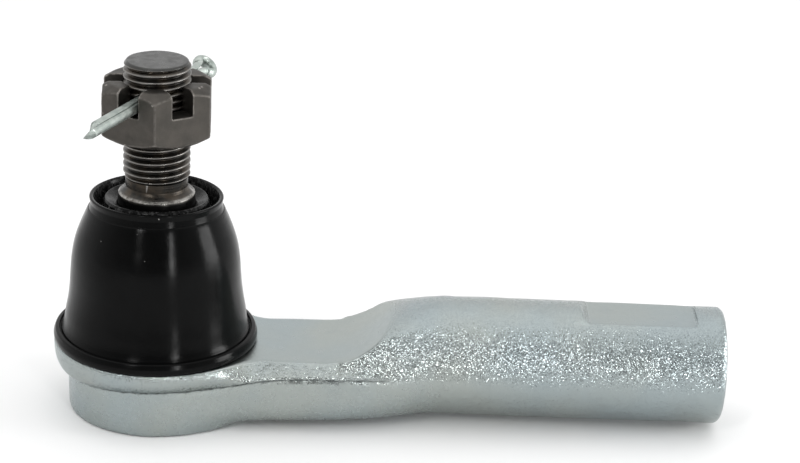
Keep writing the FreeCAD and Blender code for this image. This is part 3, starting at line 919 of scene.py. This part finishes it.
def zinc_forging():
    """Bright zinc over a rough forged skin: tiny facets that glitter, faint blue and straw tints."""
    s = Shader("zinc_forging")
    cloud = s.noise(18, 3)
    tint = s.mix(s.ramp(cloud, 0.35, 0.65, 0, 1), (0.325, 0.372, 0.380), (0.352, 0.382, 0.366))
    grime = s.ramp(s.noise(5, 5, 0.65), 0.55, 0.75, 0, 0.35)
    colour = s.mix(grime, tint, (0.28, 0.315, 0.315))
    # Painted shadow: a ragged dark line just under the parting step, where its crease is shaded.
    wander = s.ramp(s.noise(1.3, 4, 0.6), 0.3, 0.7, -0.16, 0.16)
    ragged = s.math("ADD", s.attribute("above_parting"), wander)
    parting_shadow = s.math("MULTIPLY", s.ramp(ragged, -0.62, -0.42, 0, 1), s.ramp(ragged, -0.28, -0.12, 1, 0))
    parting_shadow = s.math("MULTIPLY", parting_shadow, s.ramp(s.noise(2.1, 3, 0.6), 0.35, 0.5, 0.35, 0.9))
    parting_shadow = s.math("MULTIPLY", parting_shadow, s.attribute("parting_shadow"))
    colour = s.mix(parting_shadow, colour, (0.07, 0.078, 0.078))
    smooth = s.attribute("planed")
    tilt = s.ramp(smooth, 0, 1, 0.6, 0.08)
    normal = s.facets(0.118, tilt)
    normal = s.bump(s.noise(0.55, 4, 0.6), 0.05, normal, 0.5)
    rough = s.ramp(s.noise(1.2, 3), 0.3, 0.7, 0.17, 0.25)
    rough = s.math("ADD", rough, s.ramp(smooth, 0, 1, 0.0, 0.10))
    return s.finish(colour, rough, normal, 1.0)


def plate_steel():
    s = Shader("plate_steel")
    colour = s.mix(s.ramp(s.noise(6, 4), 0.35, 0.65, 0, 1), (0.50, 0.53, 0.53), (0.58, 0.60, 0.58))
    normal = s.bump(s.noise(0.8, 3), 0.02)
    rough = s.ramp(s.noise(2.0, 3), 0.3, 0.7, 0.28, 0.45)
    return s.finish(colour, rough, normal, 1.0)


def boot_rubber():
    """Smooth black rubber with a soft bloom, grime inside the lip and a few dust specks."""
    s = Shader("boot_rubber")
    bloom = s.ramp(s.noise(9, 4, 0.6), 0.35, 0.75, 0, 1)
    colour = s.mix(bloom, (0.0009, 0.001, 0.001), (0.0022, 0.0024, 0.0025))
    dusty = s.math("MULTIPLY", s.attribute("inside_lip"), s.ramp(s.noise(0.7, 5, 0.7), 0.48, 0.62, 0, 1))
    colour = s.mix(dusty, colour, (0.05, 0.05, 0.05))
    _, distance = s.cells(2.2)
    speck = s.ramp(distance, 0.05, 0.08, 1, 0)
    rare = s.ramp(s.noise(3.0, 2), 0.60, 0.66, 0, 1)
    colour = s.mix(s.math("MULTIPLY", speck, rare), colour, (0.22, 0.22, 0.21))
    normal = s.bump(s.noise(1.6, 4, 0.6), 0.02)
    normal = s.bump(s.noise(0.5, 4, 0.7), 0.012, normal)
    rough = s.ramp(s.noise(4.0, 4), 0.3, 0.7, 0.15, 0.25)
    s.bsdf.inputs["Specular IOR Level"].default_value = 0.09
    s.bsdf.inputs["Anisotropic"].default_value = 0.85
    s.bsdf.inputs["Anisotropic Rotation"].default_value = 0.25
    around = s.nodes.new("ShaderNodeTangent")
    around.direction_type = "RADIAL"
    around.axis = "Z"
    s.link(around.outputs["Tangent"], s.bsdf.inputs["Tangent"])
    return s.finish(colour, rough, normal, 0.0)


def stud_steel():
    """Dark oiled steel, brown in the thread roots, with fine turning marks and the taper painted near
    black below its rim.
    """
    s = Shader("stud_steel")
    # Convex edges and thread crests painted light: partly rubbed wear, partly painted highlight.
    wear_and_edge_highlight = s.edges(0.50, 0.55)
    oil = s.ramp(s.noise(2.5, 4), 0.4, 0.62, 0, 1)
    dark = s.mix(oil, (0.031, 0.030, 0.028), (0.064, 0.053, 0.042))
    colour = s.mix(wear_and_edge_highlight, dark, (0.30, 0.29, 0.275))
    across, height = s.radius_and_height()
    end_face = s.ramp(height, (STUD_TOP_Z - 0.65) * MM, (STUD_TOP_Z - 0.25) * MM, 0, 1)
    colour = s.mix(end_face, colour, (0.068, 0.068, 0.066))
    # The taper below its rim is painted near black, darker than the steel above.
    taper = s.ramp(height, (TAPER_SMALL_Z - 0.5) * MM, (TAPER_SMALL_Z - 0.15) * MM, 1, 0)
    colour = s.mix(taper, colour, (0.018, 0.018, 0.018))
    # Broken bright ring on the taper's top edge: partly wear, partly painted highlight.
    rim_wear_and_highlight = s.ramp(height, (TAPER_SMALL_Z - 0.28) * MM, (TAPER_SMALL_Z - 0.12) * MM, 0, 1)
    outer = s.ramp(across, (TAPER_SMALL_R - 0.5) * MM, (TAPER_SMALL_R - 0.25) * MM, 0, 1)
    rim_wear_and_highlight = s.math("MULTIPLY", rim_wear_and_highlight, outer)
    rim_wear_and_highlight = s.math("MULTIPLY", rim_wear_and_highlight, s.ramp(s.noise(1.1, 4, 0.6), 0.38, 0.55, 0.1, 1))
    colour = s.mix(rim_wear_and_highlight, colour, (0.33, 0.32, 0.30))
    marks = s.noise(0.22, 2, 0.5, s.combined(across, 0.0, height))
    normal = s.bump(marks, 0.02)
    normal = s.bump(s.noise(0.5, 3, 0.6), 0.01, normal)
    rough = s.ramp(s.noise(1.4, 3), 0.3, 0.7, 0.24, 0.42)
    return s.finish(colour, rough, normal, 1.0)


def nut_steel():
    """Warm grey phosphate, lighter along the edges: partly rubbed wear, partly painted highlight."""
    s = Shader("nut_steel")
    # Edges painted light in spots: partly rubbed wear, partly painted edge highlight.
    spotty = s.ramp(s.noise(0.8, 3, 0.6), 0.35, 0.6, 0.15, 1)
    wear_and_edge_highlight = s.math("MULTIPLY", s.edges(0.508, 0.568), spotty)
    patch = s.ramp(s.noise(3.5, 4, 0.6), 0.35, 0.65, 0, 1)
    skin = s.mix(patch, (0.066, 0.062, 0.056), (0.084, 0.077, 0.069))
    colour = s.mix(wear_and_edge_highlight, skin, (0.30, 0.28, 0.26))
    normal = s.bump(s.noise(0.4, 4, 0.65), 0.02)
    rough = s.ramp(s.noise(1.6, 3), 0.3, 0.7, 0.42, 0.56)
    return s.finish(colour, rough, normal, 1.0)


def zinc_wire():
    s = Shader("zinc_wire")
    colour = s.mix(s.ramp(s.noise(1.5, 4), 0.35, 0.65, 0, 1), (0.34, 0.385, 0.36), (0.47, 0.51, 0.48))
    normal = s.bump(s.noise(0.5, 4, 0.6), 0.03)
    rough = s.ramp(s.noise(1.0, 3), 0.3, 0.7, 0.36, 0.52)
    return s.finish(colour, rough, normal, 1.0)


def spring_steel():
    s = Shader("spring_steel")
    colour = s.mix(s.ramp(s.noise(3, 4), 0.35, 0.65, 0, 1), (0.10, 0.10, 0.11), (0.16, 0.155, 0.15))
    normal = s.bump(s.noise(0.4, 3), 0.01)
    rough = s.ramp(s.noise(1.2, 3), 0.3, 0.7, 0.25, 0.4)
    return s.finish(colour, rough, normal, 1.0)


def bearing_plastic():
    s = Shader("bearing_plastic")
    colour = s.mix(s.ramp(s.noise(5, 3), 0.35, 0.65, 0, 1), (0.74, 0.71, 0.62), (0.80, 0.78, 0.70))
    normal = s.bump(s.noise(0.6, 3), 0.01)
    rough = s.ramp(s.noise(2.0, 3), 0.3, 0.7, 0.38, 0.5)
    return s.finish(colour, rough, normal, 0.0)


def paint(obj, material):
    obj.data.materials.clear()
    obj.data.materials.append(material)


def store(mesh, name, values):
    layer = mesh.attributes.new(name, "FLOAT", "POINT")
    layer.data.foreach_set("value", values.astype(np.float32))


def vertices_of(mesh):
    """Vertex positions in millimetres, as three rows."""
    co = np.zeros(len(mesh.vertices) * 3)
    mesh.vertices.foreach_get("co", co)
    return (co.reshape(-1, 3) / MM).T


def mark_inside_lip(boot):
    """Stores 1 inside the boot's lip, where grime gathers."""
    x, y, _ = vertices_of(boot.data)
    inside = 1 - smooth_step(11.3, 11.7, np.hypot(x, y))
    store(boot.data, "inside_lip", inside)


def mark_planed(obj):
    """Stores how smooth the skin is: 1 on the planed deck, ramp, flats and end face, 0 on forged skin."""
    mesh = obj.data
    x, _, z = vertices_of(mesh)
    near = np.abs(planed_top(x, z))
    planed = 1 - smooth_step(0.06, 0.3, near)
    planed = np.where((x < 50) & (x > 10), planed, 0)
    flat = 1 - smooth_step(0.03, 0.12, np.abs(np.abs(z - SHANK_Z) - WRENCH_HALF))
    planed = np.where((x > 76) & (x < WRENCH_TO_X), np.maximum(planed, flat), planed)
    planed = np.where(x > SHANK_END_X - 0.1, 1, planed)
    below = smooth_step(0.0, 0.8, parting_height(x) - z) * (1 - smooth_step(44, 62, x))
    planed = np.maximum(planed, 0.72 * below)
    above = z - parting_height(x)
    # Mask for the painted parting-line shadow, faded out along the arm.
    parting_shadow = 1 - smooth_step(38, 46, x)
    store(mesh, "planed", planed)
    store(mesh, "above_parting", above)
    store(mesh, "parting_shadow", parting_shadow)


# ---------------------------------------------------------------- camera, light and floor
def direction_to(azimuth, elevation):
    """Unit vector. Azimuth 0 points to the front of the part, along -Y, and positive is to the right."""
    level = math.cos(elevation)
    return Vector((math.sin(azimuth) * level, -math.cos(azimuth) * level, math.sin(elevation)))


def make_camera():
    yaw, elevation, roll = (math.radians(a) for a in (-0.978, 21.539, 2.62))
    back = direction_to(yaw, elevation)
    right = (-back).cross(Vector((0, 0, 1))).normalized()
    up = right.cross(-back)
    leaned_right = right * math.cos(roll) + up * math.sin(roll)
    leaned_up = up * math.cos(roll) - right * math.sin(roll)
    data = bpy.data.cameras.new("camera")
    data.sensor_width = 36.0
    data.lens = 106.96
    data.clip_start = 0.01
    camera = bpy.data.objects.new("camera", data)
    bpy.context.scene.collection.objects.link(camera)
    spot = Vector((43.95, 0, 34.827)) * MM + back * 0.42938
    turn = Matrix((leaned_right, leaned_up, back)).transposed()
    camera.matrix_world = Matrix.Translation(spot) @ turn.to_4x4()
    bpy.context.scene.camera = camera


def soft_box(name, azimuth, elevation, distance, width, height, power):
    """Area light aimed at the part. Angles are degrees, sizes metres and the power is in watts."""
    direction = direction_to(math.radians(azimuth), math.radians(elevation))
    data = bpy.data.lights.new(name, "AREA")
    data.shape = "RECTANGLE"
    data.size = width
    data.size_y = height
    data.energy = power
    light = bpy.data.objects.new(name, data)
    target = Vector((0.03, 0, 0.02))
    light.location = target + direction * distance
    light.rotation_euler = direction.to_track_quat("Z", "Y").to_euler()
    bpy.context.scene.collection.objects.link(light)


def make_world():
    """White surroundings, dim in front of the part and bright behind it."""
    world = bpy.data.worlds.new("studio")
    world.use_nodes = True
    tree = world.node_tree
    sky = tree.nodes["Background"]
    place = tree.nodes.new("ShaderNodeTexCoord").outputs["Generated"]
    split = tree.nodes.new("ShaderNodeSeparateXYZ")
    tree.links.new(place, split.inputs[0])
    front = tree.nodes.new("ShaderNodeMapRange")
    tree.links.new(split.outputs["Y"], front.inputs["Value"])
    front.inputs["From Min"].default_value = -0.95
    front.inputs["From Max"].default_value = 0.1
    front.inputs["To Min"].default_value = 0.2
    front.inputs["To Max"].default_value = 1.08
    tree.links.new(front.outputs["Result"], sky.inputs["Strength"])
    sky.inputs["Color"].default_value = (1, 1, 1, 1)
    bpy.context.scene.world = world


def make_floor():
    corners = [(x * FLOOR_HALF, y * FLOOR_HALF, FLOOR_Z) for x, y in ((-1, -1), (1, -1), (1, 1), (-1, 1))]
    floor = new_object("floor", corners, [(0, 1, 2, 3)])
    s = Shader("pale_floor")
    colour = s.mix(s.ramp(s.noise(60, 3), 0.3, 0.7, 0, 1), (0.93, 0.93, 0.93), (0.95, 0.95, 0.95))
    paint(floor, s.finish(colour, 0.8, None, 0.0))


def main():
    make_camera()
    scene = bpy.context.scene
    scene.view_settings.view_transform = "Standard"
    make_world()
    make_floor()
    soft_box("right_strip", 26, 12, 0.7, 0.05, 0.24, 1.05)
    soft_box("left_strip", -26, 36, 0.7, 0.06, 0.2, 0.8)
    soft_box("right_box", 86, 8, 0.8, 0.3, 0.3, 3.0)
    soft_box("top", 0, 85, 0.9, 1.3, 1.3, 2.3)

    zinc, plate, rubber = zinc_forging(), plate_steel(), boot_rubber()
    housing = make_housing()
    mark_planed(housing)
    paint(housing, zinc)
    paint(make_bore_thread(), plate)
    paint(make_end_plug(), plate)
    boot = make_boot()
    mark_inside_lip(boot)
    paint(boot, rubber)
    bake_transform(boot)
    paint(make_stud(), stud_steel())
    paint(make_nut(), nut_steel())
    paint(make_pin(), zinc_wire())
    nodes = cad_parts
    for name in ("lower_ball_seat", "upper_ball_seat"):
        paint(nodes[name], bearing_plastic())
    for name in ("preload_spring", "boot_neck_ring"):
        paint(nodes[name], spring_steel())
    paint(nodes["boot_base_ring"], plate)


main()
